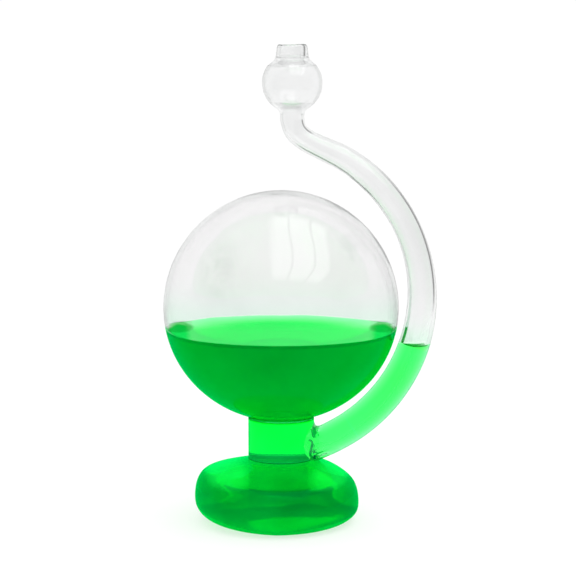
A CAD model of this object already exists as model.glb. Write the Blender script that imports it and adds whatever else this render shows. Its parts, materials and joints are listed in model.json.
"""A blown-glass vessel part filled with green liquid.

It stands on z = 0 with +Z up and its front towards -Y. A flat round foot carries a short neck
and a globe. A spout leaves the neck on its +X side, bends round the globe in an arc and ends
above it in a stem, a small bulb and an open mouth. Sizes are in millimetres, angles in degrees
and scene coordinates in metres.
"""
import json
import math

import bmesh
import bpy
import numpy as np
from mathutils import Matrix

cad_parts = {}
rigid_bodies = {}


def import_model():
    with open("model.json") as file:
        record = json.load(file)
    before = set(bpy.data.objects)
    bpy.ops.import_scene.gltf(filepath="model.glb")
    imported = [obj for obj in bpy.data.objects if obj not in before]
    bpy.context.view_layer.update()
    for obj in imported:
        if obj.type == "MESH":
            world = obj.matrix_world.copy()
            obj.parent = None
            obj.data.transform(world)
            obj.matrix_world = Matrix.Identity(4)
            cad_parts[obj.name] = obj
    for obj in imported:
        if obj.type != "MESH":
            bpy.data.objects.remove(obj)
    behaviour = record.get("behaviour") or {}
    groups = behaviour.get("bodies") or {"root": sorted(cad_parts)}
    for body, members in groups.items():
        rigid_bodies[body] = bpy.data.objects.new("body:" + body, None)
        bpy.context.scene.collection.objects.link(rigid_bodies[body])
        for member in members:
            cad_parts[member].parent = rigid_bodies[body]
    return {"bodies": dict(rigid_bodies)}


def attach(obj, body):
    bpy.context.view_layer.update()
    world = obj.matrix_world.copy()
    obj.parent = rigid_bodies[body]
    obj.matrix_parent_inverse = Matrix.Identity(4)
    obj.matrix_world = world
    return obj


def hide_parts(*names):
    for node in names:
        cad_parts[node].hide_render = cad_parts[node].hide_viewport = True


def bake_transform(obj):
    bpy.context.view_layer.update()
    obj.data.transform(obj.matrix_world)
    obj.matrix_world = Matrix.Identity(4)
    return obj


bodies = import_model()["bodies"]
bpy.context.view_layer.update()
VESSEL = bodies["vessel"]
GLOBE_TOP = bodies["globe_top"]
MENISCUS = bodies["spout_meniscus"]
MM = 0.001

# ------------------------------------------------------------------ dimensions
AXIS_X = 1.5  # the neck and globe's axis; the foot's own is at 0
NECK_R, BORE_R = 10.4, 9.1
CUT_LOW, CUT_HIGH = 20.3, 33.1  # where the neck's piece meets the foot's and the globe's
# the globe is a half ball over a half ellipsoid, whose depth is the drop
GLOBE_Z, GLOBE_R, GLOBE_DROP, GLOBE_WALL = 68.1, 36.8, 35.6, 1.25
IN_R, IN_DROP = GLOBE_R - GLOBE_WALL, GLOBE_DROP - GLOBE_WALL
LEVEL = 61.1  # the liquid in the globe
# how far that liquid climbs the globe's wall at the front, the sides and the back
CLIMB_FRONT, CLIMB_SIDE, CLIMB_BACK = 0.15, 1.75, 0.1
CLIMB_REACH, CLIMB_POWER = 35.5, 12  # from the axis to the full side climb, and its onset
ARC = np.array([-4.2, 71.75])  # the spout arc's centre in x and z
ARC_R, SPOUT_BORE = 49.9, 3.5
LEVEL_ANGLE, SPOUT_LEVEL = -17.3, 56.91  # where on the arc the spout's liquid ends
SURFACE_X = ARC[0] + ARC_R * math.cos(math.radians(LEVEL_ANGLE))
COLUMN_START = -56  # the angle on the arc where the spout's own liquid column begins
STEM_X, CUT_STEM, CUT_MOUTH = 4.95, 128.4, 145.7
STEM_WALL = 0.9
SKIN = 0.03  # the liquid stands this far inside the glass
SHARP = math.radians(38)

# material slots of every glass piece
OUTER, TRUNK_IN, SPOUT_IN, FUSED, SPOUT_OUT, FUSED_DRY = range(6)


# ------------------------------------------------------------------ curves and warps
def smooth(share):
    share = np.clip(share, 0, 1)
    return share * share * (3 - 2 * share)


def chord_lengths(points):
    """The length along a polyline up to each of its points."""
    return np.r_[0, np.cumsum(np.linalg.norm(np.diff(points, axis=0), axis=1))]


def spline(points, count):
    """Even samples of the natural cubic through points, by chord length."""
    points = np.array(points, float)
    knots = chord_lengths(points)
    gap = np.diff(knots)
    size = len(points)
    system = np.zeros((size, size))
    target = np.zeros(points.shape)
    system[0, 0] = system[-1, -1] = 1
    for i in range(1, size - 1):
        system[i, i - 1 : i + 2] = gap[i - 1], 2 * (gap[i - 1] + gap[i]), gap[i]
        ahead = (points[i + 1] - points[i]) / gap[i]
        behind = (points[i] - points[i - 1]) / gap[i - 1]
        target[i] = 6 * (ahead - behind)
    bend = np.linalg.solve(system, target)
    at = np.linspace(0, knots[-1], count)
    k = np.clip(np.searchsorted(knots, at, side="right") - 1, 0, size - 2)
    past = (at - knots[k])[:, None]
    span = gap[k][:, None]
    return (
        bend[k] * (span - past) ** 3 / (6 * span)
        + bend[k + 1] * past**3 / (6 * span)
        + (points[k] / span - bend[k] * span / 6) * (span - past)
        + (points[k + 1] / span - bend[k + 1] * span / 6) * past
    )


def tangents(points):
    along = np.gradient(points, axis=0)
    return along / np.linalg.norm(along, axis=1)[:, None]


def offset(profile, distance):
    """A profile moved to its left-hand side by a distance."""
    along = tangents(profile)
    return profile + distance * np.c_[-along[:, 1], along[:, 0]]


def on_arc(angle):
    """The (x, z) of the spout arc's centre line at an angle."""
    turn = np.radians(angle)
    return np.array([ARC[0] + ARC_R * np.cos(turn), ARC[1] + ARC_R * np.sin(turn)])


def foot_centre_x(z):
    """The middle shifts from the foot's axis to the neck's across the foot's dome."""
    return AXIS_X * smooth((z - 14.5) / 5.2)


def lean(verts):
    """The foot leans down towards +X above its flat base, and swells in three lobes."""
    slope, lobe = 0.043, 0.16
    x, y, z = verts.T
    radius = np.hypot(x, y)
    share = smooth((radius - 9) / 13) * (1 - smooth((z - 15.5) / 4.5))
    share = share * np.where(x > 0, smooth(z / 7), 1)
    swell = lobe * np.sin(3 * np.arctan2(y, x) + 0.7) * smooth((radius - 14) / 8)
    scale = 1 + swell / np.maximum(radius, 1) * (1 - smooth((z - 13) / 6))
    return np.c_[x * scale, y * scale, z - slope * x * share]


def globe_swell(verts):
    """A few tenths of a millimetre out of round, as a blown ball is."""
    swell = 0.0028
    x, y, z = verts.T
    angle = np.arctan2(y, x - AXIS_X)
    share = np.clip((z - 34) / 6, 0, 1) * np.clip((105.2 - z) / 12, 0, 1)
    scale = 1 + swell * share * np.sin(2 * angle + 0.5) * np.sin((z - 34) / 22)
    return np.c_[AXIS_X + (x - AXIS_X) * scale, y * scale, z]


# ------------------------------------------------------------------ shapes
# A shape is its vertices, its faces and a material slot for each face.
def turns(count):
    return np.linspace(0, 2 * np.pi, count, endpoint=False)


def hoop(centre_x, radius, z, count):
    angle = turns(count)
    return np.c_[centre_x + radius * np.cos(angle), radius * np.sin(angle), np.full(count, z)]


def bridge(start, end, count):
    """Quads between two rings of count vertices, given the first vertex of each."""
    steps = [(j, (j + 1) % count) for j in range(count)]
    return [(start + j, end + j, end + k, start + k) for j, k in steps]


def face_slots(slots, segments, count):
    """One slot for each face, from one for each segment or one for all."""
    return np.repeat(np.broadcast_to(slots, segments), count)


def lathe(profile, slots, count, centre_x=AXIS_X):
    """Revolves a (radius, z) profile whose ends lie on the axis."""
    radius, height = np.array(profile, float).T
    size = len(radius)
    middle = np.broadcast_to(centre_x, size)
    hoops = [hoop(middle[i], radius[i], height[i], count) for i in range(1, size - 1)]
    first_end, last_end = ([[middle[i], 0, height[i]]] for i in (0, -1))
    verts = np.concatenate([first_end, *hoops, last_end])
    last = len(verts) - 1
    top = last - count
    faces = [(0, 1 + j, 1 + (j + 1) % count) for j in range(count)]
    for start in range(1, top, count):
        faces += bridge(start, start + count, count)
    faces += [(top + j, last, top + (j + 1) % count) for j in range(count)]
    return verts, faces, face_slots(slots, size - 1, count)


def hollow_ring(profile, slots, count, centre_x):
    """Revolves a closed (radius, z) loop that stays off the axis."""
    size = len(profile)
    verts = np.concatenate([hoop(centre_x, radius, z, count) for radius, z in profile])
    faces = []
    for i in range(size):
        faces += bridge(i * count, (i + 1) % size * count, count)
    return verts, faces, face_slots(slots, size, count)


def capped_rings(rings, ends, side_slot, cap_slot):
    """Joins rings of vertices in order and closes both ends onto a point each."""
    count = len(rings[0])
    verts = np.concatenate([*rings, ends])
    first = len(rings) * count
    top = first - count
    faces = []
    for start in range(0, top, count):
        faces += bridge(start, start + count, count)
    for j in range(count):
        k = (j + 1) % count
        faces += [(first, j, k), (first + 1, top + k, top + j)]
    return verts, faces, np.repeat([side_slot, cap_slot], [top, 2 * count])


def tube(centres, radii, count, side_slot, cap_slot, ripple=None):
    """A closed tube along (x, z) centres in the XZ plane, with flat ends."""
    along = tangents(centres)
    normal = np.c_[along[:, 1], -along[:, 0]]  # away from the arc's centre, for the arc
    angle = turns(count)
    rings = []
    for i, (x, z) in enumerate(centres):
        radius = radii[i] if ripple is None else radii[i] + ripple(centres[i], angle)
        out = radius * np.cos(angle)
        ring = np.c_[x + out * normal[i, 0], radius * np.sin(angle), z + out * normal[i, 1]]
        rings.append(ring)
    ends = [[centres[i, 0], 0, centres[i, 1]] for i in (0, -1)]
    return capped_rings(rings, ends, side_slot, cap_slot)


# ------------------------------------------------------------------ mesh objects
def shade(mesh):
    """Smooth but for sharp rims."""
    mesh.polygons.foreach_set("use_smooth", np.ones(len(mesh.polygons), bool))
    mesh.set_sharp_from_angle(angle=SHARP)
    mesh.update()


def mesh_object(name, shape, materials, warp=None):
    """A closed mesh object with outward normals."""
    verts, faces, slots = shape
    if warp is not None:
        verts = warp(verts)
    mesh = bpy.data.meshes.new(name)
    mesh.from_pydata([tuple(v) for v in verts * MM], [], faces)
    for each in materials:
        mesh.materials.append(each)
    mesh.polygons.foreach_set("material_index", np.asarray(slots, np.int32))
    bm = bmesh.new()
    bm.from_mesh(mesh)
    bmesh.ops.recalc_face_normals(bm, faces=bm.faces)
    bm.to_mesh(mesh)
    bm.free()
    shade(mesh)
    ob = bpy.data.objects.new(name, mesh)
    bpy.context.scene.collection.objects.link(ob)
    return ob


def combine(target, tool, operation):
    """Boolean of two closed meshes; the tool is thrown away."""
    mod = target.modifiers.new("cut", "BOOLEAN")
    mod.operation = operation
    mod.solver = "EXACT"
    mod.object = tool
    bpy.context.view_layer.update()
    depsgraph = bpy.context.evaluated_depsgraph_get()
    new = bpy.data.meshes.new_from_object(target.evaluated_get(depsgraph))
    target.modifiers.clear()
    old = target.data
    target.data = new
    bpy.data.meshes.remove(old)
    bpy.data.objects.remove(tool)


def tidy(ob):
    """Welds the slivers a boolean leaves."""
    bm = bmesh.new()
    bm.from_mesh(ob.data)
    bmesh.ops.remove_doubles(bm, verts=bm.verts, dist=2e-6)
    bmesh.ops.dissolve_degenerate(bm, edges=bm.edges, dist=1e-6)
    bm.to_mesh(ob.data)
    bm.free()
    shade(ob.data)


def mark(ob, name, values):
    """A float attribute on the vertices, from one value for each or one for all."""
    data = ob.data.attributes.new(name, "FLOAT", "POINT").data
    data.foreach_set("value", np.full(len(data), values, np.float32))


# ------------------------------------------------------------------ node trees
class Net:
    """A node tree written as plain expressions."""

    def __init__(self, tree):
        self.tree = tree

    def put(self, socket, value):
        """Links or sets an input; a colour is given as three numbers."""
        if isinstance(value, bpy.types.NodeSocket):
            self.tree.links.new(value, socket)
            return
        if isinstance(value, tuple) and len(socket.default_value) == 4:
            value = (*value, 1)
        socket.default_value = value

    def node(self, kind, inputs=None, **settings):
        made = self.tree.nodes.new(kind)
        for name, value in settings.items():
            setattr(made, name, value)
        for name, value in (inputs or {}).items():
            if value is not None:
                self.put(made.inputs[name], value)
        return made

    def math(self, operation, a, b=None, clamp=False):
        inputs = {0: a, 1: b}
        made = self.node("ShaderNodeMath", inputs, operation=operation, use_clamp=clamp)
        return made.outputs[0]

    def fold(self, operation, total, *others):
        for other in others:
            total = self.math(operation, total, other)
        return total

    def plus(self, *terms):
        return self.fold("ADD", *terms)

    def times(self, *factors):
        return self.fold("MULTIPLY", *factors)

    def minus(self, a, b):
        return self.math("SUBTRACT", a, b)

    def over(self, a, b):
        return self.math("DIVIDE", a, b)

    def most(self, a, b):
        return self.math("MAXIMUM", a, b)

    def squares(self, a, b):
        return self.plus(self.times(a, a), self.times(b, b))

    def step(self, value, start, end, low=0.0, high=1.0):
        """Eases from low to high as the value goes from start to end."""
        inputs = {0: value, 1: start, 2: end, 3: low, 4: high}
        made = self.node("ShaderNodeMapRange", inputs, interpolation_type="SMOOTHSTEP")
        return made.outputs[0]

    def rise(self, length, start, end):
        """0 to 1 between two lengths in mm."""
        return self.step(length, start * MM, end * MM)

    def fall(self, length, start, end):
        """1 to 0 between two lengths in mm."""
        return self.step(length, start * MM, end * MM, low=1.0, high=0.0)

    def band(self, length, rise, fall):
        """Rises over one span of mm and falls over another."""
        return self.times(self.rise(length, *rise), self.fall(length, *fall))

    def xyz(self, vector):
        return self.node("ShaderNodeSeparateXYZ", {0: vector}).outputs

    def coords(self, ob=None, which="Object"):
        return self.node("ShaderNodeTexCoord", object=ob).outputs[which]

    def attribute(self, name):
        return self.node("ShaderNodeAttribute", attribute_name=name).outputs["Fac"]

    def stretch(self, vector, scale):
        return self.node("ShaderNodeMapping", {"Vector": vector, "Scale": scale}).outputs[0]

    def noise(self, vector, scale, detail=2.0, rough=0.5, distortion=0.0):
        inputs = {"Vector": vector, "Scale": scale, "Detail": detail}
        inputs.update({"Roughness": rough, "Distortion": distortion})
        return self.node("ShaderNodeTexNoise", inputs).outputs[0]

    def mix(self, factor, a, b):
        return self.node("ShaderNodeMix", {0: factor, 6: a, 7: b}, data_type="RGBA").outputs[2]

    def blend(self, factor, a, b):
        return self.node("ShaderNodeMixShader", {0: factor, 1: a, 2: b}).outputs[0]

    def add(self, a, b):
        return self.node("ShaderNodeAddShader", {0: a, 1: b}).outputs[0]

    def bump(self, height, strength, distance, normal=None):
        inputs = {"Strength": strength, "Distance": distance, "Height": height}
        return self.node("ShaderNodeBump", {**inputs, "Normal": normal}).outputs[0]

    def wall(self, through, mirror, ior, normal):
        """A smooth dielectric with its own colours for what passes and what it mirrors."""
        bare = {"Roughness": 0.0, "Normal": normal}
        share = self.node("ShaderNodeFresnel", {"IOR": ior, "Normal": normal})
        bent = self.node("ShaderNodeBsdfRefraction", {"IOR": ior, "Color": through, **bare})
        shine = self.node("ShaderNodeBsdfAnisotropic", {"Color": mirror, **bare})
        return self.blend(share.outputs[0], bent.outputs[0], shine.outputs[0])

    def facing(self):
        """How squarely a ray meets the surface: 1 head on, 0 grazing."""
        ray = self.node("ShaderNodeNewGeometry").outputs
        inputs = {0: ray["Incoming"], 1: ray["Normal"]}
        dot = self.node("ShaderNodeVectorMath", inputs, operation="DOT_PRODUCT")
        return self.math("ABSOLUTE", dot.outputs["Value"])

    def clear(self, colour=(1, 1, 1)):
        return self.node("ShaderNodeBsdfTransparent", {"Color": colour}).outputs[0]

    def glow(self, colour, strength):
        inputs = {"Color": colour, "Strength": strength}
        return self.node("ShaderNodeEmission", inputs).outputs[0]


def material(name):
    made = bpy.data.materials.new(name)
    made.use_nodes = True
    made.node_tree.nodes.clear()
    net = Net(made.node_tree)
    return made, net, net.node("ShaderNodeOutputMaterial")


# ------------------------------------------------------------------ glass materials
GLASS_IOR, WATER_IOR = 1.47, 1.333
WET_IOR = GLASS_IOR / WATER_IOR
WHITE = (1, 1, 1)
# colours of what the glass mirrors
DRY_MIRROR = (0.915, 0.92, 0.917)
WET_MIRROR, WET_SPOUT_MIRROR = (0.0, 0.74, 0.17), (0.42, 1.0, 0.60)
CORNER_MIRROR = (0.02, 0.50, 0.08)  # beside the liquid's two ends
LIMB_MIRROR = (0.16, 0.16, 0.16)  # in the dark lines along the spout's bore
# colours of what passes through it
CLEAN, SMUDGED, CLOUDY = (0.980, 0.981, 0.981), (0.946, 0.949, 0.948), (0.90, 0.91, 0.905)
DRY_GLOBE, DRY_SPOUT = (0.972, 0.958, 0.968), (0.970, 0.971, 0.971)
LEDGE = (0.965, 0.967, 0.967)
OUTSIDE = dict(soft_scale=38, soft_strength=0.16, streak_strength=0.06)
INSIDE = dict(soft_scale=52, soft_strength=0.22, streak_strength=0.09)


def glass_relief(net, soft_scale, soft_strength, streak_strength):
    """Blown glass: long soft undulations and streaks drawn out upright."""
    place = net.coords(VESSEL)
    soft = net.noise(place, scale=soft_scale, detail=1.0, rough=0.4, distortion=0.3)
    drawn = net.stretch(place, scale=(1, 1, 0.22))
    streak = net.noise(drawn, scale=170, detail=1.5, rough=0.45)
    normal = net.bump(soft, strength=soft_strength, distance=0.0009)
    return net.bump(streak, strength=streak_strength, distance=0.00025, normal=normal)


def spot(net, place, centre, radii):
    """1 at an (x, z) in mm, easing to 0 at the edge of an ellipse round it."""
    x, y, z = net.xyz(place)
    across = net.over(net.minus(x, centre[0] * MM), radii[0] * MM)
    up = net.over(net.minus(z, centre[1] * MM), radii[1] * MM)
    return net.step(net.squares(across, up), start=0.05, end=1.0, low=1.0, high=0.0)


def two_spots(net, place, first, second):
    """The union of two spots, each a centre and its radii."""
    return net.most(spot(net, place, *first), spot(net, place, *second))


def wet_share(net, z, level):
    """1 below the level, with a crisp edge."""
    return net.fall(z, level - 0.04, level + 0.04)


def globe_wet(net):
    """The height less the liquid's climb up the wall at that point, and 1 on wet glass."""
    x, y, z = net.xyz(net.coords(GLOBE_TOP))
    side = net.over(net.minus(x, AXIS_X * MM), CLIMB_REACH * MM)
    side = net.math("MULTIPLY", side, side, clamp=True)
    side = net.math("POWER", side, CLIMB_POWER / 2)
    behind = net.times(net.rise(y, -20, 20), net.minus(1.0, side))
    climb = net.plus(
        CLIMB_FRONT,
        net.times(side, CLIMB_SIDE - CLIMB_FRONT),
        net.times(behind, CLIMB_BACK - CLIMB_FRONT),
    )
    z = net.minus(z, net.times(climb, MM))
    return z, wet_share(net, z, LEVEL)


def spout_wet(net):
    """The height, and 1 on the spout's wet glass."""
    z = net.xyz(net.coords(MENISCUS))[2]
    return z, wet_share(net, z, SPOUT_LEVEL)


def corner_share(net):
    """1 on the globe's front at the liquid's left and right ends, to just over its level."""
    x, y, z = net.xyz(net.coords(GLOBE_TOP))
    side = net.math("ABSOLUTE", net.minus(x, AXIS_X * MM))
    # the upper edge comes down towards the sides
    height = net.plus(z, net.step(side, 30.5 * MM, 35.5 * MM, low=0.0, high=2.7 * MM))
    return net.times(
        net.rise(side, 25.8, 28.8),
        net.fall(y, -2, 3),
        net.fall(side, 34.3, 35.3),
        net.fall(height, LEVEL + 4.1, LEVEL + 4.9),
    )


def clear_ledges(net, surface):
    """The thick glass at the bulb's two welds lets most light straight through."""
    z = net.xyz(net.coords(VESSEL))[2]
    upper = net.band(z, rise=(143.0, 143.8), fall=(145.6, 146.4))
    lower = net.band(z, rise=(128.4, 129.1), fall=(131.2, 132.2))
    most_light = 0.78
    share = net.times(net.most(upper, lower), most_light)
    return net.blend(share, surface, net.clear(LEDGE))


def smudged(net, place):
    """The dry outside's colour, with faint smudges."""
    smudge = net.noise(place, scale=30, detail=3.5, rough=0.6, distortion=0.3)
    return net.mix(net.step(smudge, start=0.42, end=0.70), CLEAN, SMUDGED)


def make_trunk_outside():
    """The outside of the foot, neck and globe."""
    made, net, out = material("glass_outside")
    place = net.coords(VESSEL)
    normal = glass_relief(net, **OUTSIDE)
    z, wet = globe_wet(net)
    # two cloudy patches high on the ball
    patch = two_spots(net, place, ((-17.6, 81.0), (6.5, 10.0)), ((24.6, 87.5), (4.2, 4.5)))
    cloudy = net.noise(place, scale=150, detail=3.0, rough=0.6, distortion=0.4)
    cloudy = net.step(cloudy, start=0.30, end=0.70)
    dry = net.mix(net.times(patch, cloudy), smudged(net, place), CLOUDY)
    # a darker band just under the line where the liquid meets the glass
    rise, fall = (LEVEL - 1.3, LEVEL - 0.75), (LEVEL - 0.42, LEVEL - 0.12)
    under_line = net.band(z, rise=rise, fall=fall)
    wet_through = net.mix(under_line, WHITE, (0.80, 0.80, 0.84))
    # and a dark ring round the weld between ball and neck
    ring = net.band(net.xyz(place)[2], rise=(32.5, 33.0), fall=(34.0, 34.6))
    wet_through = net.mix(ring, wet_through, (0.12, 0.74, 0.30))
    wet_mirror = net.mix(ring, WET_MIRROR, (0.0, 0.25, 0.06))
    dry_mirror = net.mix(corner_share(net), DRY_MIRROR, CORNER_MIRROR)
    through = net.mix(wet, dry, wet_through)
    mirror = net.mix(wet, dry_mirror, wet_mirror)
    net.put(out.inputs["Surface"], net.wall(through, mirror, GLASS_IOR, normal))
    return made


def make_spout_outside():
    made, net, out = material("glass_outside_spout")
    place = net.coords(VESSEL)
    normal = glass_relief(net, **OUTSIDE)
    # wrinkles above and below where the spout's flare meets the neck
    weld = two_spots(net, place, ((12.9, 31.2), (1.9, 2.4)), ((11.6, 20.9), (2.3, 1.5)))
    drawn = net.stretch(place, scale=(1.4, 0.5, 0.6))
    crease = net.noise(drawn, scale=430, detail=2.0, rough=0.5, distortion=1.0)
    crease = net.times(crease, weld)
    normal = net.bump(crease, strength=0.28, distance=0.0008, normal=normal)
    z, wet = spout_wet(net)
    # the wet wall takes its liquid's colour towards its edges
    squarely = net.step(net.facing(), start=0.30, end=0.80)
    wet_through = net.mix(squarely, (0.55, 0.97, 0.70), WHITE)
    through = net.mix(wet, smudged(net, place), wet_through)
    mirror = net.mix(wet, DRY_MIRROR, WET_SPOUT_MIRROR)
    surface = net.wall(through, mirror, GLASS_IOR, normal)
    net.put(out.inputs["Surface"], clear_ledges(net, surface))
    return made


def limb_shade(net):
    """How dark the bore's edge is: most along the arc's outer side, under the crook, and on
    the right of the stem and the mouth."""
    outer_dark, under_dark, right_dark, least_dark = 0.95, 0.75, 0.9, 0.12
    x, y, z = net.xyz(net.coords(VESSEL))
    across, up = net.minus(x, ARC[0] * MM), net.minus(z, ARC[1] * MM)
    from_centre = net.math("SQRT", net.squares(across, up))
    outward = net.rise(from_centre, ARC_R - 1, ARC_R + 1)
    inward = net.minus(1.0, outward)
    outer = net.times(outward, net.band(z, rise=(64, 76), fall=(100, 116)), outer_dark)
    under = net.times(inward, net.band(z, rise=(96, 106), fall=(117, 121)), under_dark)
    stem = net.band(z, rise=(121.5, 123), fall=(126.4, 127.2))
    mouth = net.band(z, rise=(145.4, 146.3), fall=(149.3, 150))
    right = net.times(net.rise(x, STEM_X, STEM_X + 1), right_dark, net.most(stem, mouth))
    return net.most(net.most(outer, under), net.most(right, least_dark))


def make_inside(name, in_globe):
    """An inside wall: dry glass against air, and wet below the level. The dry glass just above
    it takes a green mist."""
    made, net, out = material(name)
    z, wet = globe_wet(net) if in_globe else spout_wet(net)
    level, mist_height = (LEVEL, 20) if in_globe else (SPOUT_LEVEL, 12)
    dry = net.minus(1.0, wet)
    ior = net.plus(net.times(wet, WET_IOR), net.times(dry, GLASS_IOR))
    near = net.fall(z, level - 1, level + mist_height)
    mist = net.times(near, near, dry)
    through = net.mix(mist, DRY_GLOBE if in_globe else DRY_SPOUT, (0.89, 0.995, 0.93))
    through = net.mix(wet, through, WHITE)
    mirror = net.mix(mist, DRY_MIRROR, (0.70, 0.86, 0.76))
    if in_globe:
        mirror = net.mix(corner_share(net), mirror, CORNER_MIRROR)
    else:
        edge = net.times(net.step(net.facing(), start=0.60, end=0.72), limb_shade(net))
        mirror = net.mix(edge, mirror, LIMB_MIRROR)
    mirror = net.mix(wet, mirror, WET_MIRROR if in_globe else WET_SPOUT_MIRROR)
    surface = net.wall(through, mirror, ior, glass_relief(net, **INSIDE))
    if not in_globe:
        surface = clear_ledges(net, surface)
    net.put(out.inputs["Surface"], surface)
    return made


def make_weld(name, colour):
    """A weld inside the wall, a shade darker than the glass on either side of it."""
    made, net, out = material(name)
    swirl = net.noise(net.coords(VESSEL), scale=900)
    lighter = tuple(min(1.0, part * 1.12) for part in colour)
    net.put(out.inputs["Surface"], net.clear(net.mix(swirl, colour, lighter)))
    return made


# ------------------------------------------------------------------ liquid materials
def dye_cloud(net, place):
    """How strongly the dye glows: in soft clouds, and not on bare surfaces."""
    cloud = net.noise(place, scale=60, detail=2.0, rough=0.5, distortion=0.2)
    cloud = net.step(cloud, start=0.3, end=0.75, low=1.25, high=0.75)
    return net.times(cloud, net.minus(1.0, net.attribute("bare")))


def liquid_surface(net, place, through, mirror, glow):
    """A free surface that refracts, mirrors and glows, with a slight ripple."""
    ripple = net.noise(place, scale=40, detail=1.0, rough=0.4)
    normal = net.bump(ripple, strength=0.04, distance=0.0005)
    return net.add(net.wall(through, mirror, WATER_IOR, normal), net.glow(glow, 1.0))


def dish(net, surface):
    """The hollow end of a column: clear up its steep rim, the surface in its bottom."""
    depth = net.attribute("dish_depth")
    across = net.xyz(net.coords(MENISCUS))[0]
    dish_radius, rounding = 3.4, 0.42
    across = net.over(net.minus(across, SURFACE_X * MM), dish_radius * MM)
    bottom = net.plus(depth, net.times(across, across, rounding))
    bottom = net.step(bottom, start=0.55, end=0.68)
    return net.blend(bottom, net.clear((0.90, 1.0, 0.94)), surface)


def finish_liquid(net, out, side, surface, absorb):
    """Clear sides, a free surface, and colour that deepens with depth.
    absorb is the absorption per metre in red, green and blue."""
    shader = net.blend(net.attribute("open_top"), side, surface)
    net.put(out.inputs["Surface"], shader)
    red, green, blue = absorb
    inputs = {"Color": (0.0, 1 - green / red, 1 - blue / red), "Density": red}
    volume = net.node("ShaderNodeVolumeAbsorption", inputs)
    net.put(out.inputs["Volume"], volume.outputs[0])


def make_liquid_deep():
    """The globe's liquid."""
    made, net, out = material("liquid_deep")
    place = net.coords(VESSEL)
    throat = net.fall(net.xyz(place)[2], 33.2, 33.4)
    tint = net.mix(throat, WHITE, (0.70, 0.70, 1.0))
    side = net.add(net.clear(tint), net.glow((0.0, 0.095, 0.014), dye_cloud(net, place)))

    # seen from above: the wedges at both ends are deeper green, the far rim fades out
    above = net.minus(1.0, net.node("ShaderNodeNewGeometry").outputs["Backfacing"])
    x, y, z = net.xyz(place)
    across = net.minus(x, AXIS_X * MM)
    # each wedge is an ellipse in x and y, 34.5 mm to either side of the axis
    wedge_x = net.over(net.minus(net.math("ABSOLUTE", across), 34.5 * MM), 7.5 * MM)
    wedge_y = net.over(net.minus(y, 3 * MM), 13.5 * MM)
    wedges = net.squares(wedge_x, wedge_y)
    wedges = net.times(net.step(wedges, start=0.55, end=1.0, low=1.0, high=0.0), above)
    radius = net.math("SQRT", net.squares(across, y))
    most_faded = 0.62
    far = net.times(net.rise(radius, 15, 36), net.rise(y, -4, 12), above, most_faded)

    glow = net.mix(above, (0.005, 0.16, 0.02), (0.005, 0.57, 0.080))
    glow = net.mix(wedges, net.mix(far, glow, (0.40, 0.80, 0.50)), (0.0, 0.30, 0.035))
    through = net.mix(far, (0.01, 0.62, 0.20), (0.25, 0.40, 0.30))
    through = net.mix(wedges, through, (0.0, 0.7, 0.1))
    mirror = net.mix(far, (0.0, 0.54, 0.09), (0.20, 0.35, 0.25))
    mirror = net.mix(wedges, mirror, (0.0, 0.45, 0.06))
    surface = liquid_surface(net, place, through, mirror, glow)
    finish_liquid(net, out, side, surface, absorb=(400, 24.0, 165))
    return made


def make_liquid_foot():
    made, net, out = material("liquid_foot")
    place = net.coords(VESSEL)
    x, y, z = net.xyz(place)
    # a slight tint in the middle of the dome and at both ends, more glow in its shoulders
    middle = net.band(x, rise=(-8.8, -7.8), fall=(9.2, 10.4))
    middle = net.times(middle, net.rise(z, 8.5, 12.5))
    shoulders = two_spots(net, place, ((-15.5, 16.0), (8.5, 3.3)), ((17.5, 15.2), (9.0, 3.1)))
    ends = two_spots(net, place, ((-20.5, 9.0), (5.0, 4.0)), ((22.5, 9.0), (3.6, 4.5)))
    tint = net.mix(middle, WHITE, (1.0, 0.80, 0.88))
    tint = net.mix(ends, tint, (1.0, 0.78, 0.86))
    glow = net.mix(shoulders, (0.0, 0.17, 0.021), (0.004, 0.46, 0.05))
    side = net.add(net.clear(tint), net.glow(glow, dye_cloud(net, place)))
    surface = liquid_surface(
        net, place, through=(0.1, 1.0, 0.4), mirror=(0.05, 0.9, 0.2), glow=(0.0, 0.1, 0.01)
    )
    finish_liquid(net, out, side, dish(net, surface), absorb=(400, 27.0, 150))
    return made


def make_liquid_bright():
    """The liquid of the neck and the spout."""
    made, net, out = material("liquid_bright")
    place = net.coords(VESSEL)
    cloud = dye_cloud(net, place)
    # the neck's liquid glows less beside its two welds
    x, y, z = net.xyz(place)
    in_neck = net.fall(x, 12.5, 14.5)
    ends = net.most(net.fall(z, 20.6, 23.6), net.rise(z, 32.1, 32.9))
    loss = 0.6
    cloud = net.times(cloud, net.minus(1.0, net.times(ends, in_neck, loss)))
    side = net.add(net.clear(WHITE), net.glow((0.002, 0.05, 0.054), cloud))
    surface = liquid_surface(
        net, place, through=(0.0, 0.34, 0.04), mirror=(0.0, 0.25, 0.03), glow=(0.0, 0.02, 0.003)
    )
    finish_liquid(net, out, side, dish(net, surface), absorb=(445, 1.0, 345))
    return made


GLASS = [  # in the order of the material slots
    make_trunk_outside(),
    make_inside("glass_inside_globe", in_globe=True),
    make_inside("glass_inside_spout", in_globe=False),
    make_weld("glass_weld_wet", (0.06, 0.60, 0.09)),
    make_spout_outside(),
    make_weld("glass_weld_dry", (0.80, 0.80, 0.80)),
]
LIQUID_DEEP = make_liquid_deep()
LIQUID_FOOT = make_liquid_foot()
LIQUID_BRIGHT = make_liquid_bright()

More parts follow.
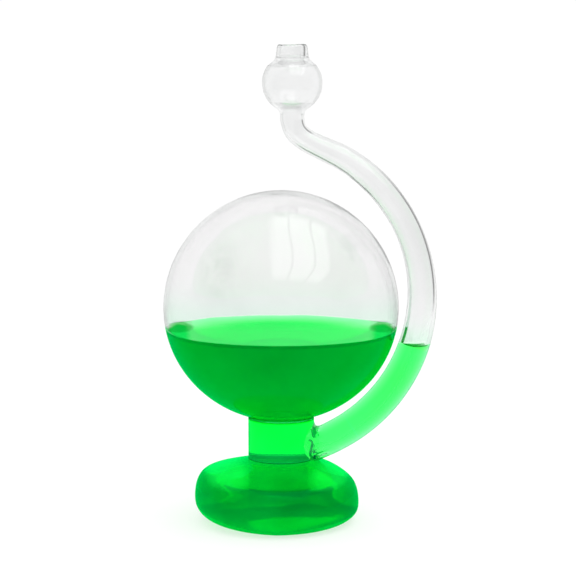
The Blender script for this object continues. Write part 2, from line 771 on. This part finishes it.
# ------------------------------------------------------------------ foot
# all profiles are (radius, z)
FOOT_SEGMENTS = 176
FOOT_BASE = [(0, 0.62), (4, 0.6), (8, 0.5), (11, 0.34), (13.5, 0.12), (15.2, 0.0)]
FOOT_SIDE = [
    (17.0, 0.0), (19.77, 0.14), (21.45, 0.57), (22.9, 1.26), (24.11, 2.2), (25.04, 3.36),
    (25.66, 4.72), (25.95, 6.4), (25.93, 8.4), (25.7, 10.3), (25.25, 12.0), (24.55, 13.5),
    (23.6, 14.7), (22.2, 15.75), (20.2, 16.75), (17.8, 17.65), (15.2, 18.5), (13.2, 19.08),
    (11.9, 19.42),
]
FOOT_CORNER = [(11.2, 19.58), (10.75, 19.76), (10.5, 19.98), (10.41, 20.2), (NECK_R, CUT_LOW)]
# the inside, from the floor's middle out and up to the neck's bore
INNER_FLOOR = np.array([(0, 1.9), (5, 1.9), (10, 1.9)])
INNER_SIDE = [
    (14.0, 1.9), (18.3, 2.0), (20.5, 2.4), (22.2, 3.15), (23.5, 4.25), (24.25, 5.6),
    (24.5, 7.4), (24.35, 9.4), (23.9, 11.2), (23.0, 12.8), (21.6, 14.0), (19.6, 15.0),
    (17.0, 16.05), (14.4, 16.95), (12.2, 17.6), (10.7, 18.05),
]
INNER_NECK = np.array([(9.75, 18.45), (9.2, 19.0), (9.0, 19.6), (BORE_R, CUT_LOW)])
inner_side = spline(INNER_SIDE, count=100)


def trunk_slots(outside, profile):
    """Slots for a profile that runs down its outside points, over a weld and along its bore."""
    return [OUTER] * (outside - 1) + [FUSED] + [TRUNK_IN] * (len(profile) - outside - 1)


def make_glass_foot():
    outside = np.r_[FOOT_BASE, spline(FOOT_SIDE, count=110), FOOT_CORNER]
    profile = np.r_[outside, INNER_NECK[::-1], inner_side[::-1], INNER_FLOOR[::-1]]
    slots = trunk_slots(len(outside), profile)
    shape = lathe(profile, slots, FOOT_SEGMENTS, foot_centre_x(profile[:, 1]))
    glass = mesh_object("glass_foot", shape, GLASS, warp=lean)
    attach(glass, "vessel")
    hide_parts("foot", "foot_seam")


# ------------------------------------------------------------------ globe
GLOBE_SEGMENTS = 224
GLOBE_NECK = [(NECK_R, CUT_HIGH), (NECK_R, 33.5), (10.5, 33.85), (10.75, 34.02)]
GLOBE_THROAT = np.array([(BORE_R, CUT_HIGH), (8.95, 33.9), (9.0, 34.5), (9.35, 34.95)])


def globe_at(radius, drop, at_radius):
    """The height of the globe's lower half at a distance from its axis."""
    return GLOBE_Z - drop * math.sqrt(1 - (at_radius / radius) ** 2)


OUT_LOW = globe_at(GLOBE_R, GLOBE_DROP, NECK_R + 0.9)
IN_LOW = globe_at(IN_R, IN_DROP, BORE_R + 0.9)


def ellipse_arc(radius, drop, z_from, z_to, count):
    """Points of the globe between two heights, evenly by angle."""
    low, high = (
        math.asin((z - GLOBE_Z) / (drop if z < GLOBE_Z else radius)) for z in (z_from, z_to)
    )
    angle = np.linspace(low, high, count)
    height = GLOBE_Z + np.where(angle < 0, drop, radius) * np.sin(angle)
    return np.c_[radius * np.cos(angle), height]


def globe_to_top(radius, drop, z_from):
    top = GLOBE_Z + radius
    arc = ellipse_arc(radius, drop, z_from, top - 1e-6, count=200)
    arc[-1] = (0, top)
    return arc


def make_glass_globe():
    outside = np.r_[GLOBE_NECK, globe_to_top(GLOBE_R, GLOBE_DROP, OUT_LOW + 0.06)]
    inside = np.r_[GLOBE_THROAT, globe_to_top(IN_R, IN_DROP, IN_LOW + 0.05)]
    profile = np.r_[outside[::-1], inside]
    shape = lathe(profile, trunk_slots(len(outside), profile), GLOBE_SEGMENTS)
    glass = mesh_object("glass_globe", shape, GLASS, warp=globe_swell)
    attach(glass, "vessel")
    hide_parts("globe", "globe_seam")


# ------------------------------------------------------------------ neck and spout
NECK_SEGMENTS, NECK_ROWS = 168, 30
NECK_CORE_R = 6.0  # the neck is a thick ring before its bore is cut
BORE_OVERRUN, BORE_ROWS = 8, 60
SPOUT_RINGS, SKIN_SIDES, BORE_SIDES = 430, 72, 64
SPOUT_ROOT = [5.0, 25.5]  # (x, z) inside the neck, where the spout's bore starts
CROOK_BORE = 3.2  # the bore's radius at the end of the arc
# centre line (x, z) of the flare, out of the neck
FLARE = [(8.0, 25.5), (9.8, 25.25), (11.6, 25.05), (13.4, 25.15), (15.3, 25.75)]
ARC_STATIONS = [*range(-62, 59, 3), 60]
# outer radius along the arc: angles, then the radius at each
RADIUS_ANGLES = [-62, -56, -47, -38, -29, -20, -11, -2, 7, 16, 25, 34, 43, 52, 60]
ARC_RADII = [
    5.0, 5.0, 5.0, 4.98, 4.95, 4.9, 4.78, 4.6, 4.4, 4.27, 4.2, 4.15, 4.08, 4.0, 3.88,
]
# the crook above the globe and the stem: x, z, outer radius
CROOK = np.array([
    (16.1, 117.15, 3.72), (13.75, 118.2, 3.6), (11.3, 119.35, 3.5), (9.1, 120.6, 3.48),
    (7.15, 122.1, 3.54), (5.75, 124.05, 3.64), (5.1, 126.3, 3.74), (STEM_X, 127.4, 3.79),
    (STEM_X, CUT_STEM, 3.82),
])

path = np.r_[FLARE, [on_arc(angle) for angle in ARC_STATIONS], CROOK[:, :2]]
centres = spline(path, count=SPOUT_RINGS)
path_knots = chord_lengths(path)


def spout_radii(radii):
    """The radius at every ring of the spout, from one at the root and at each station from the
    arc on, with the corners rounded off."""
    stations = np.r_[0, path_knots[len(FLARE) :]]
    even = np.interp(np.linspace(0, path_knots[-1], SPOUT_RINGS), stations, radii)
    pad = 8
    kernel = np.hanning(2 * pad + 1)
    kernel /= kernel.sum()
    return np.convolve(np.r_[[even[0]] * pad, even, [even[-1]] * pad], kernel, "valid")


arc_radii = np.interp(ARC_STATIONS, RADIUS_ANGLES, ARC_RADII)
arc_bores = [SPOUT_BORE if angle < 55 else CROOK_BORE for angle in ARC_STATIONS]
spout_out = spout_radii(np.r_[ARC_RADII[0], arc_radii, CROOK[:, 2]])
spout_in = spout_radii(np.r_[SPOUT_BORE, arc_bores, CROOK[:, 2] - STEM_WALL])
# both widen into the flare towards the neck
low_part = centres[:, 1] < 30
spout_out = spout_out + 2.5 * smooth((14.5 - centres[:, 0]) / 5.5) * low_part
spout_in = spout_in + 1.2 * smooth((15.5 - centres[:, 0]) / 6.5) * low_part


def pleats(centre, angle):
    """The flare's outside is puckered where it meets the neck."""
    x, z = centre
    if z > 40 or x > 16.5:
        return 0 * angle
    share = smooth((16.0 - x) / 2.2) * smooth((x - 9.5) / 2.5)
    return share * (
        0.13 * np.sin(9 * angle + 1.1)
        + 0.09 * np.sin(17 * angle + 3.0)
        + 0.10 * np.sin(5 * angle)
    )


def flat_flare(verts):
    """Keeps the flare's hidden root between the neck's two cuts."""
    out = verts.copy()
    root = (out[:, 0] < 11.7) & (out[:, 2] < 40)
    out[root, 2] = np.clip(out[root, 2], CUT_LOW + 0.05, CUT_HIGH - 0.05)
    return out


def make_glass_neck():
    loop = [(NECK_R, z) for z in np.linspace(CUT_LOW, CUT_HIGH, NECK_ROWS)]
    loop += [(NECK_CORE_R, CUT_HIGH), (NECK_CORE_R, CUT_LOW)]
    slots = [OUTER] * (NECK_ROWS - 1) + [FUSED] * 3
    shape = hollow_ring(loop, slots, NECK_SEGMENTS, AXIS_X)
    glass = mesh_object("glass_neck_spout", shape, GLASS)
    shape = tube(centres, spout_out, SKIN_SIDES, SPOUT_OUT, FUSED_DRY, ripple=pleats)
    combine(glass, mesh_object("spout_skin", shape, GLASS, warp=flat_flare), "UNION")
    # the neck's straight bore, then the spout's own
    heights = np.linspace(CUT_LOW - BORE_OVERRUN, CUT_HIGH + BORE_OVERRUN, BORE_ROWS)
    bore = [(0, heights[0])] + [(BORE_R, z) for z in heights] + [(0, heights[-1])]
    shape = lathe(bore, TRUNK_IN, NECK_SEGMENTS)
    combine(glass, mesh_object("neck_bore", shape, GLASS), "DIFFERENCE")
    inside = np.r_[[SPOUT_ROOT], centres, [[STEM_X, CUT_STEM + 1.0]]]
    radii = np.r_[spout_in[0], spout_in, spout_in[-1]]
    shape = tube(inside, radii, BORE_SIDES, SPOUT_IN, SPOUT_IN)
    combine(glass, mesh_object("spout_bore", shape, GLASS), "DIFFERENCE")
    tidy(glass)
    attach(glass, "vessel")
    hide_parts("neck", "spout_flare", "spout_tube")


# ------------------------------------------------------------------ bulb and mouth
BULB_ROWS, BULB_SEGMENTS, MOUTH_SEGMENTS = 90, 144, 120
BULB_OUTSIDE = [
    (3.82, CUT_STEM), (3.95, 129.0), (4.5, 129.75), (5.6, 130.6), (6.9, 131.8), (8.2, 133.6),
    (9.05, 135.7), (9.35, 138.1), (9.1, 140.3), (8.4, 142.2), (7.5, 143.5), (6.55, 144.4),
    (5.95, 144.9), (5.6, 145.3), (5.38, CUT_MOUTH),
]
BULB_INSIDE = [
    (2.92, CUT_STEM), (2.98, 129.2), (3.5, 130.1), (4.7, 130.95), (6.1, 132.1), (7.35, 133.9),
    (8.15, 135.9), (8.43, 138.1), (8.2, 140.2), (7.5, 141.9), (6.5, 143.2), (5.2, 144.1),
    (4.2, 144.7), (3.75, 145.2), (3.62, CUT_MOUTH),
]
# up the outside, over the lip and down the inside
MOUTH_WALL = [
    (5.38, CUT_MOUTH), (5.12, 146.5), (4.95, 147.4), (4.85, 148.3), (4.74, 149.1),
    (4.5, 149.72), (4.15, 150.0), (3.8, 149.85), (3.62, 149.3), (3.6, 148.4), (3.6, 147.0),
    (3.62, CUT_MOUTH),
]
LIP_OUTSIDE, LIP_INSIDE = 34, 29  # rows of the mouth's wall on either side of the lip


def make_glass_bulb():
    outside, inside = (spline(table, BULB_ROWS) for table in (BULB_OUTSIDE, BULB_INSIDE))
    side = BULB_ROWS - 1
    slots = [SPOUT_OUT] * side + [FUSED_DRY] + [SPOUT_IN] * side + [FUSED_DRY]
    shape = hollow_ring(np.r_[outside, inside[::-1]], slots, BULB_SEGMENTS, STEM_X)
    glass = mesh_object("glass_bulb", shape, GLASS)
    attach(glass, "vessel")
    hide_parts("overflow_bulb", "stem_seam")


def uneven_lip(verts):
    """The lip is fire-polished, so its rim is a touch uneven."""
    dip = 0.14
    out = verts.copy()
    angle = np.arctan2(out[:, 1], out[:, 0] - STEM_X)
    out[:, 2] -= smooth((out[:, 2] - 147) / 3) * (dip - dip * np.cos(2 * angle + 0.9))
    return out


def make_glass_mouth():
    wall = spline(MOUTH_WALL, count=LIP_OUTSIDE + LIP_INSIDE + 1)
    slots = [SPOUT_OUT] * LIP_OUTSIDE + [SPOUT_IN] * LIP_INSIDE + [FUSED_DRY]
    shape = hollow_ring(wall, slots, MOUTH_SEGMENTS, STEM_X)
    glass = mesh_object("glass_mouth", shape, GLASS, warp=uneven_lip)
    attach(glass, "vessel")
    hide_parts("mouth", "mouth_seam")


# ------------------------------------------------------------------ liquid: foot and neck
COLUMN_LOW = on_arc(COLUMN_START)


def make_liquid_foot_body():
    profile = np.r_[
        INNER_FLOOR + (0, SKIN),
        offset(inner_side, SKIN),
        INNER_NECK - (SKIN, 0),
        [(4, CUT_LOW), (0, CUT_LOW)],
    ]
    shape = lathe(profile, 0, FOOT_SEGMENTS, foot_centre_x(profile[:, 1]))
    liquid = mesh_object("liquid_foot", shape, [LIQUID_FOOT], warp=lean)
    mark(liquid, "open_top", 0)
    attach(liquid, "vessel")
    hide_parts("foot_liquid")


def make_liquid_neck():
    """The neck's liquid, running on through the flare to the foot of the spout's column."""
    radius = BORE_R - SKIN
    rows = [(radius, z) for z in np.linspace(CUT_LOW, CUT_HIGH, NECK_ROWS)]
    rows = [(0, CUT_LOW)] + rows + [(0, CUT_HIGH)]
    liquid = mesh_object("liquid_neck", lathe(rows, 0, NECK_SEGMENTS), [LIQUID_BRIGHT])
    stop = int(np.argmin(np.hypot(*(centres - COLUMN_LOW).T)))
    branch = np.r_[[SPOUT_ROOT], centres[: stop + 1]]
    branch[-1] = COLUMN_LOW
    radii = np.r_[spout_in[0], spout_in[: stop + 1]] - SKIN
    shape = tube(branch, radii, BORE_SIDES, 0, 0)
    combine(liquid, mesh_object("branch", shape, [LIQUID_BRIGHT]), "UNION")
    tidy(liquid)
    mark(liquid, "open_top", 0)
    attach(liquid, "vessel")
    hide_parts("neck_liquid")


# ------------------------------------------------------------------ liquid: globe
WET_R, WET_DROP = IN_R - SKIN, IN_DROP - SKIN
wall_line = ellipse_arc(WET_R, WET_DROP, IN_LOW + 0.1, LEVEL, count=120)
RIM = wall_line[-1, 0]


def wall_radius(z):
    """The liquid's radius against the globe's wall."""
    return WET_R * np.sqrt(np.clip(1 - ((z - GLOBE_Z) / WET_DROP) ** 2, 0, 1))


def climb_at(x, y):
    """How far the liquid stands above its level where it meets the wall."""
    side = np.clip((x - AXIS_X) / CLIMB_REACH, -1, 1) ** CLIMB_POWER
    behind = smooth((y + 20) / 40) * (1 - side)
    to_side, to_back = CLIMB_SIDE - CLIMB_FRONT, CLIMB_BACK - CLIMB_FRONT
    return CLIMB_FRONT + to_side * side + to_back * behind


def drawn_up(verts):
    """Lifts the rim of the surface, and slides the wall line up the glass with it."""
    lift_reach, spread_reach, shared_depth = 1.7, 2.5, 6
    x, y, z = verts.T
    radius = np.hypot(x - AXIS_X, y)
    to_rim = RIM / np.maximum(radius, 1e-6)
    climb = climb_at(AXIS_X + (x - AXIS_X) * to_rim, y * to_rim)
    flat = z > LEVEL - 1e-6
    # the wall's last few rings share the climb, so that they stay evenly spaced
    share = smooth((z - (LEVEL - shared_depth)) / shared_depth) * ~flat
    lifted = LEVEL + climb * np.exp(-(RIM - radius) / lift_reach)
    height = np.where(flat, lifted, z + climb * share)
    on_wall = (share > 0) | (flat & (radius > RIM - 1e-6))
    scale = np.where(on_wall, wall_radius(height) / np.maximum(radius, 1e-6), 1)
    spread = (wall_radius(LEVEL + climb) - RIM) / np.maximum(radius, 1)
    spread = 1 + spread * np.exp(-(RIM - radius) / spread_reach)
    scale = np.where(flat & ~on_wall, spread, scale)
    return globe_swell(np.c_[AXIS_X + (x - AXIS_X) * scale, y * scale, height])


def make_liquid_globe():
    # distances in from the rim of the surface's rings, closest where it climbs
    inwards = np.r_[
        np.linspace(0, 4.5, 26)[1:], np.linspace(5.2, 9.5, 8), np.linspace(11.5, RIM - 2, 10)
    ]
    profile = np.r_[
        [(0, CUT_HIGH), (4, CUT_HIGH)],
        GLOBE_THROAT - (SKIN, 0),
        wall_line,
        [(RIM - distance, LEVEL) for distance in inwards],
        [(0, LEVEL)],
    ]
    shape = lathe(profile, 0, GLOBE_SEGMENTS)
    liquid = mesh_object("liquid_globe", shape, [LIQUID_DEEP], warp=drawn_up)
    places = np.zeros(len(liquid.data.vertices) * 3)
    liquid.data.vertices.foreach_get("co", places)
    x, y, z = (places.reshape(-1, 3) / MM).T
    inside = np.hypot(x - AXIS_X, y) < wall_radius(z) - 0.12
    mark(liquid, "open_top", (z > LEVEL - 0.01) & inside)
    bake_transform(liquid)
    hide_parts("globe_liquid", "globe_surface")


# ------------------------------------------------------------------ liquid: spout
SPOUT_SIDES, COLUMN_ROWS, BED_ROWS = 72, 90, 17
level_at = on_arc(LEVEL_ANGLE)


def column_ring(angle):
    """A ring of the column at an angle of the arc."""
    turn = np.radians(angle)
    around = turns(SPOUT_SIDES)
    radius = SPOUT_BORE - SKIN
    reach = ARC_R + radius * np.cos(around)
    x, z = ARC[0] + reach * np.cos(turn), ARC[1] + reach * np.sin(turn)
    return np.c_[x, radius * np.sin(around), z]


def make_liquid_column():
    """A column that stretches round the arc, with a round socket in its upper end."""
    socket_r, end_drop = 3.44, 1.2  # the column ends this far below the socket's middle
    top_angle = LEVEL_ANGLE - math.degrees(end_drop / ARC_R)
    tilt = math.radians(LEVEL_ANGLE)
    outward = np.array([math.cos(tilt), math.sin(tilt)])
    downward = np.array([math.sin(tilt), -math.cos(tilt)])
    shares = np.linspace(0, 1, COLUMN_ROWS)
    rings = [column_ring(COLUMN_START + (top_angle - COLUMN_START) * s) for s in shares]
    around = turns(SPOUT_SIDES)
    # round the socket's bed, from its edge down to its bottom
    for polar in np.linspace(math.acos(end_drop / socket_r), 0, BED_ROWS + 1)[:-1]:
        radius, down = socket_r * math.sin(polar), socket_r * math.cos(polar)
        out = radius * np.cos(around)
        x = level_at[0] + out * outward[0] + down * downward[0]
        z = level_at[1] + out * outward[1] + down * downward[1]
        rings.append(np.c_[x, radius * np.sin(around), z])
    bottom = level_at + socket_r * downward
    ends = [[COLUMN_LOW[0], 0, COLUMN_LOW[1]], [bottom[0], 0, bottom[1]]]
    shape = capped_rings(rings, ends, 0, 0)
    liquid = mesh_object("liquid_column", shape, [LIQUID_BRIGHT])
    mark(liquid, "open_top", 0)
    wall_count, bed_count = COLUMN_ROWS * SPOUT_SIDES, BED_ROWS * SPOUT_SIDES
    mark(liquid, "bare", [0] * wall_count + [1] * bed_count + [0, 1])
    # the bed and the wall beside it turn whole with the column's end; below them it stretches
    along = on_arc(LEVEL_ANGLE - math.degrees(socket_r / ARC_R)) - COLUMN_LOW
    along /= np.linalg.norm(along)
    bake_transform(liquid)
    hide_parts("spout_liquid")


def slanted(verts):
    """Moves the meniscus to its place, a little higher towards -X."""
    slant = math.radians(1.2)
    x, y, z = verts.T
    cos, sin = math.cos(slant), math.sin(slant)
    return np.c_[level_at[0] + x * cos + z * sin, y, level_at[1] - x * sin + z * cos]


def make_liquid_meniscus():
    """A ball's lower half with a dished top."""
    ball_r, dish_r, dish_depth = 3.42, 3.37, 1.1
    under = [(0, -ball_r)]
    for polar in np.linspace(0, np.pi / 2, 26)[1:]:
        under.append((ball_r * math.sin(polar), -ball_r * math.cos(polar)))
    top = []
    for polar in np.linspace(0, np.pi / 2, 34):
        top.append((dish_r * math.cos(polar), -dish_depth * math.sin(polar) ** 1.15))
    top[-1] = (0, -dish_depth)
    shape = lathe(under + top, 0, SPOUT_SIDES, centre_x=0)
    liquid = mesh_object("liquid_meniscus", shape, [LIQUID_BRIGHT], warp=slanted)
    count = len(shape[0])
    first_top = 1 + (len(under) - 1) * SPOUT_SIDES
    mark(liquid, "open_top", np.arange(count) >= first_top)
    depths = np.repeat([-z / dish_depth for _, z in top[:-1]], SPOUT_SIDES)
    mark(liquid, "dish_depth", np.r_[np.zeros(first_top), depths, 1])
    mark(liquid, "bare", 1)
    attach(liquid, "spout_meniscus")
    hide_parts("spout_surface")


make_glass_foot()
make_glass_globe()
make_glass_neck()
make_glass_bulb()
make_glass_mouth()
make_liquid_foot_body()
make_liquid_neck()
make_liquid_globe()
make_liquid_column()
make_liquid_meniscus()


# ------------------------------------------------------------------ stage
def make_floor():
    """A disc of pale paper that fades out away from the vessel."""
    mesh = bpy.data.meshes.new("floor")
    bm = bmesh.new()
    bmesh.ops.create_circle(bm, cap_ends=True, radius=1.6, segments=96)
    bm.to_mesh(mesh)
    bm.free()
    floor = bpy.data.objects.new("floor", mesh)
    floor.location.z = -0.00002
    bpy.context.scene.collection.objects.link(floor)
    made, net, out = material("floor_paper")
    x, y, z = net.xyz(net.coords(floor))
    fade = net.step(net.math("SQRT", net.squares(x, y)), start=0.16, end=0.5)
    paper = net.node("ShaderNodeBsdfDiffuse", {"Color": (0.4, 0.4, 0.4)})
    lit = net.add(paper.outputs[0], net.glow(WHITE, strength=0.64))
    net.put(out.inputs["Surface"], net.blend(fade, lit, net.clear()))
    mesh.materials.append(made)


def softbox(net, x, y, z):
    """1 in a three-pane light above and in front, drawn on the plane one unit overhead."""
    overhead = net.most(z, 0.05)
    across, deep = net.over(x, overhead), net.over(y, overhead)
    # distances in from the box's slanting left and right edges
    left_edge = net.plus(-0.21, net.times(deep, 0.075))
    right_edge = net.step(deep, start=-1.0, end=0.3, low=1.32, high=0.64)
    left, right = net.minus(across, left_edge), net.minus(right_edge, across)
    box = net.times(
        net.step(left, start=0.0, end=0.16),
        net.step(right, start=0.0, end=0.05),
        net.step(deep, start=-1.75, end=-1.2),
        net.step(deep, start=0.22, end=0.42, low=1.0, high=0.0),
        net.step(z, start=0.1, end=0.2),
    )
    # two dark bars part the panes, each at a share of the width
    share = net.over(left, net.most(net.plus(left, right), 0.01))
    bars = []
    for middle, dark, light in ((0.33, 0.008, 0.022), (0.66, 0.012, 0.028)):
        away = net.math("ABSOLUTE", net.minus(share, middle))
        bars.append(net.step(away, start=dark, end=light))
    return net.times(box, net.times(*bars))


def make_world():
    """A bright sweep behind, a dimmer room in front and a broad soft light overhead."""
    top_light, box_light = 1.12, 1.15
    world = bpy.data.worlds.new("studio")
    bpy.context.scene.world = world
    world.use_nodes = True
    world.node_tree.nodes.clear()
    net = Net(world.node_tree)
    out = net.node("ShaderNodeOutputWorld")
    x, y, z = net.xyz(net.coords(which="Generated"))
    room = net.step(y, start=-0.35, end=0.40, low=0.72, high=1.02)
    overhead = net.step(z, start=0.55, end=0.85)
    level = net.plus(
        room,
        net.times(overhead, net.minus(top_light, room)),
        net.times(softbox(net, x, y, z), box_light),
    )
    light = net.node("ShaderNodeBackground", {"Color": WHITE, "Strength": level})
    net.put(out.inputs["Surface"], light.outputs[0])


def make_camera():
    """In front of the vessel, looking slightly down."""
    lens = bpy.data.cameras.new("camera")
    lens.sensor_width = 36
    lens.lens = 109.46
    lens.clip_start = 0.01
    camera = bpy.data.objects.new("camera", lens)
    camera.location = (0.00365, -0.545, 0.13737)
    camera.rotation_euler = (math.radians(90 - 6.6037), 0, 0)
    bpy.context.scene.collection.objects.link(camera)
    bpy.context.scene.camera = camera


make_floor()
make_world()
make_camera()
scene = bpy.context.scene
scene.view_settings.view_transform = "Standard"
# enough bounces to see through every wall of glass and liquid
scene.cycles.max_bounces = 32
scene.cycles.transmission_bounces = 32
scene.cycles.transparent_max_bounces = 48
